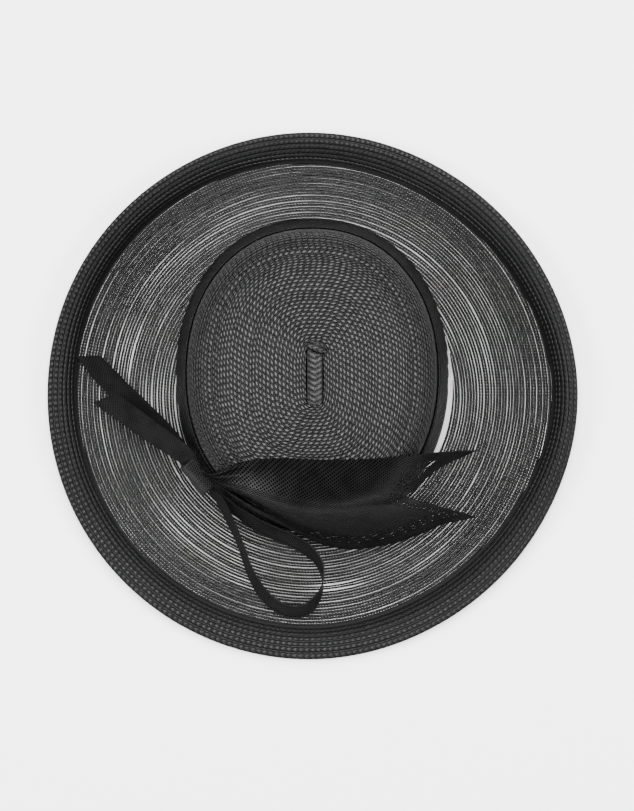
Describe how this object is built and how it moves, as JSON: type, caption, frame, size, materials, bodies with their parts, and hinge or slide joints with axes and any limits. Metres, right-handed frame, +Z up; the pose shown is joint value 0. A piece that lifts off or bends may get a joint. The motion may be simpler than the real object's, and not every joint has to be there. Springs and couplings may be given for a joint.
{
  "type": "wide-brim dress hat",
  "caption": "Women's wide-brim dress hat: oval straw crown, sheer middle brim, upturned straw rim and a ribbon bow at the left front.",
  "frame": {"origin": "centre of the bounding box in plan, on the surface the brim rests on", "axes": "+Z up through the crown, -Y the way the wearer faces"},
  "size_m": [0.3579, 0.3572, 0.1102],
  "materials": {
    "straw_braid": "lacquered black straw braid, sewn in rows",
    "sheer_braid": "see-through black horsehair braid, sewn in rows",
    "crin_ribbon": "black crin ribbon of bias weave with firm edges"
  },
  "bodies": {
    "root": {"crown": "straw_braid", "sheer_brim": "sheer_braid", "rim_band": "straw_braid", "hat_band": "crin_ribbon", "bow_knot": "crin_ribbon", "bow_tail_back": "crin_ribbon", "bow_tail_front": "crin_ribbon", "bow_loop": "crin_ribbon", "bow_fan": "crin_ribbon"}
  },
  "joints": []
}
